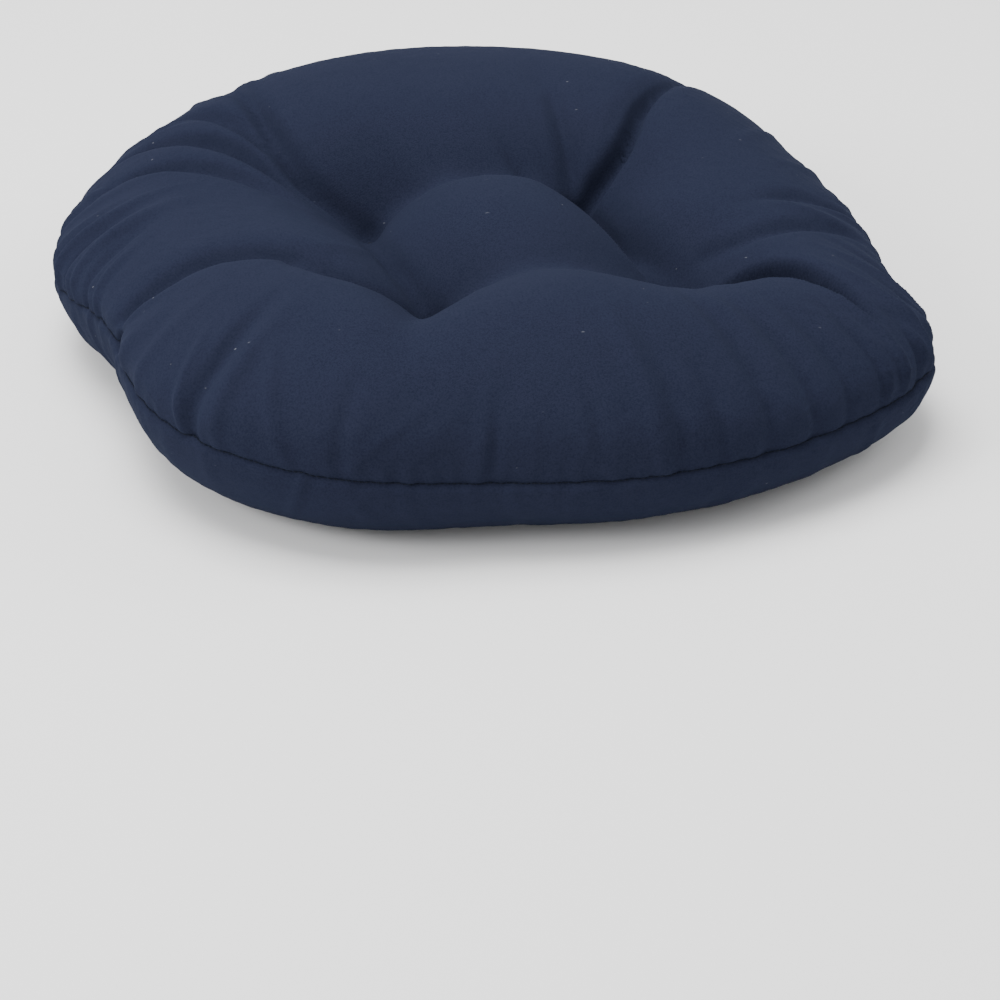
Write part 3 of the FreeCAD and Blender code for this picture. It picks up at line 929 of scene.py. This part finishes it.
def twill(tree, shader):
    """Worn navy twill: slanting lines, uneven yarn, faint patches and specks of lint."""
    uv = tree.nodes.new("ShaderNodeUVMap")
    uv.uv_map = "cloth"
    place = tree.nodes.new("ShaderNodeTexCoord").outputs["Object"]
    slope = tree.nodes.new("ShaderNodeMapping")
    slope.inputs["Rotation"].default_value = (0, 0, TWILL_SLOPE)
    tree.links.new(uv.outputs["UV"], slope.inputs["Vector"])
    lines = node(
        tree, "ShaderNodeTexWave", Scale=330.0, Distortion=1.2, Detail=2.0, Detail_Scale=3.0
    )
    tree.links.new(slope.outputs["Vector"], lines.inputs["Vector"])
    yarn = node(tree, "ShaderNodeTexNoise", Scale=1000.0, Detail=2.0, Roughness=0.7)
    tree.links.new(place, yarn.inputs["Vector"])
    patch = node(tree, "ShaderNodeTexNoise", Scale=14.0, Detail=4.0, Roughness=0.55)
    tree.links.new(place, patch.inputs["Vector"])
    creases = node(tree, "ShaderNodeTexNoise", Scale=70.0, Detail=3.0, Roughness=0.5)
    tree.links.new(place, creases.inputs["Vector"])
    hairs = tree.nodes.new("ShaderNodeMapping")
    hairs.inputs["Rotation"].default_value = (0.3, 0.2, 0.6)
    hairs.inputs["Scale"].default_value = (0.5, 1.2, 1.2)
    tree.links.new(mix(tree, 0.03, place, patch.outputs["Color"]), hairs.inputs["Vector"])
    specks = node(tree, "ShaderNodeTexVoronoi", Scale=120.0, Randomness=1.0)
    tree.links.new(hairs.outputs["Vector"], specks.inputs["Vector"])
    near = ramp(tree, specks.outputs["Distance"], 0.03, 0.07, 1.0, 0.0)
    pick = tree.nodes.new("ShaderNodeSeparateColor")
    tree.links.new(specks.outputs["Color"], pick.inputs["Color"])
    some = ramp(tree, pick.outputs["Red"], 0.70, 1.0, 0.0, 1.0)
    speck = tree.nodes.new("ShaderNodeMath")
    speck.operation = "MULTIPLY"
    tree.links.new(near, speck.inputs[0])
    tree.links.new(some, speck.inputs[1])
    grain = mix(tree, ramp(tree, patch.outputs["Fac"], 0.3, 0.7, 0.0, 0.35), NAVY, WORN_NAVY)
    grain = mix(tree, ramp(tree, yarn.outputs["Fac"], 0.38, 0.62, 0.0, 0.6), grain, WORN_NAVY)
    grain = mix(tree, ramp(tree, yarn.outputs["Fac"], 0.30, 0.48, 0.3, 0.0), grain, DEEP_NAVY)
    grain = mix(tree, ramp(tree, lines.outputs["Fac"], 0.0, 1.0, 0.08, 0.0), grain, DEEP_NAVY)
    color = mix(tree, speck.outputs["Value"], grain, LINT)
    tree.links.new(color, shader.inputs["Base Color"])
    shader.inputs["Sheen Tint"].default_value = COOL_SHEEN
    soft = bump(tree, creases.outputs["Fac"], 0.06, 0.0012)
    fine = bump(tree, lines.outputs["Fac"], 0.08, 0.00025, soft)
    tree.links.new(bump(tree, yarn.outputs["Fac"], 0.3, 0.0003, fine), shader.inputs["Normal"])


def strands(scale, depth):
    """Fine lumpy relief for threads, twine and ribbon."""

    def build(tree, shader):
        place = tree.nodes.new("ShaderNodeTexCoord").outputs["Object"]
        lines = node(tree, "ShaderNodeTexNoise", Scale=scale, Detail=3.0, Roughness=0.6)
        tree.links.new(place, lines.inputs["Vector"])
        tree.links.new(bump(tree, lines.outputs["Fac"], 0.6, depth), shader.inputs["Normal"])
        color = tuple(shader.inputs["Base Color"].default_value)[:3]
        paler = tuple(min(1, 1.35 * c + 0.01) for c in color)
        shade = mix(tree, ramp(tree, lines.outputs["Fac"], 0.35, 0.7), color, paler)
        tree.links.new(shade, shader.inputs["Base Color"])

    return build


cloth_material = material("navy_twill", NAVY, 0.92, twill, sheen=0.02, gloss=0.01)
thread_material = material("navy_thread", THREAD_NAVY, 0.8, strands(1800, 0.0001), gloss=0.03)
twine_material = material("waxed_twine", TWINE_NAVY, 0.6, strands(1200, 0.0003), gloss=0.06)
label_material = material("blank_ribbon", RIBBON_WHITE, 0.7, strands(2200, 0.0001))
fibre_material = material("white_fibre", FIBRE_WHITE, 1.0, strands(160, 0.003), sheen=0.3)

# What each piece replaces, its slot and its material.
made = [
    (top_cover, "top_cover", "cover_twill", cloth_material),
    (bottom_cover, "bottom_cover", "cover_twill", cloth_material),
    (filling, "fibre_fill", "fibre", fibre_material),
    (seam_stitches, "seam_thread", "sewing_thread", thread_material),
    (overlock, "overlock_thread", "sewing_thread", thread_material),
    (closing_stitches, "closing_stitches", "sewing_thread", thread_material),
    (label, "care_label", "label_ribbon", label_material),
]
for name, twine in twines.items():
    made.append((twine, f"tuft_twine_{name}", "tuft_twine", twine_material))
for piece, cad_node, slot_name, surface in made:
    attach(piece, "root")
    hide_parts(cad_node)
    piece.data.materials.append(surface)

# Floor, light and camera.
FLOOR = 6000
floor_corners = [(-FLOOR, -FLOOR, 0), (FLOOR, -FLOOR, 0), (FLOOR, FLOOR, 0), (-FLOOR, FLOOR, 0)]
floor = link("floor", floor_corners, [(0, 1, 2, 3)])
floor.data.materials.append(material("pale_floor", PALE_FLOOR, 0.9))

world = bpy.data.worlds.new("studio")
bpy.context.scene.world = world
world.use_nodes = True
sky = world.node_tree.nodes["Background"]
sky.inputs["Color"].default_value = (1.0, 1.0, 1.0, 1)
sky.inputs["Strength"].default_value = 0.95


AIM = (0, 0, 0.06)


def softbox(name, position, size, power):
    light = bpy.data.lights.new(name, "AREA")
    light.size = size
    light.energy = power
    holder = bpy.data.objects.new(name, light)
    holder.location = position
    aim = Vector(AIM) - Vector(position)
    holder.rotation_euler = aim.to_track_quat("-Z", "Y").to_euler()
    bpy.context.scene.collection.objects.link(holder)


softbox("overhead", (-0.35, 0.15, 2.4), 1.6, 84)
softbox("left", (-1.9, -0.9, 1.3), 1.0, 40)
softbox("right", (1.9, 0.3, 1.3), 1.0, 12)

FOCAL = 80.3
PITCH = math.radians(31.9)
ROLL = math.radians(-1.35)
VIEWPOINT = Vector((0.012, -1.163, 0.606))
forward = Vector((0, math.cos(PITCH), -math.sin(PITCH)))
level = Vector((1, 0, 0))
upright = level.cross(forward)
camera = bpy.data.objects.new("camera", bpy.data.cameras.new("camera"))
camera.data.lens = FOCAL
camera.data.sensor_width = 36
right = math.cos(ROLL) * level + math.sin(ROLL) * upright
up = -math.sin(ROLL) * level + math.cos(ROLL) * upright
axes = Matrix((right, up, -forward)).transposed()
camera.matrix_world = Matrix.Translation(VIEWPOINT) @ axes.to_4x4()
bpy.context.scene.collection.objects.link(camera)
bpy.context.scene.camera = camera

bpy.context.view_layer.update()
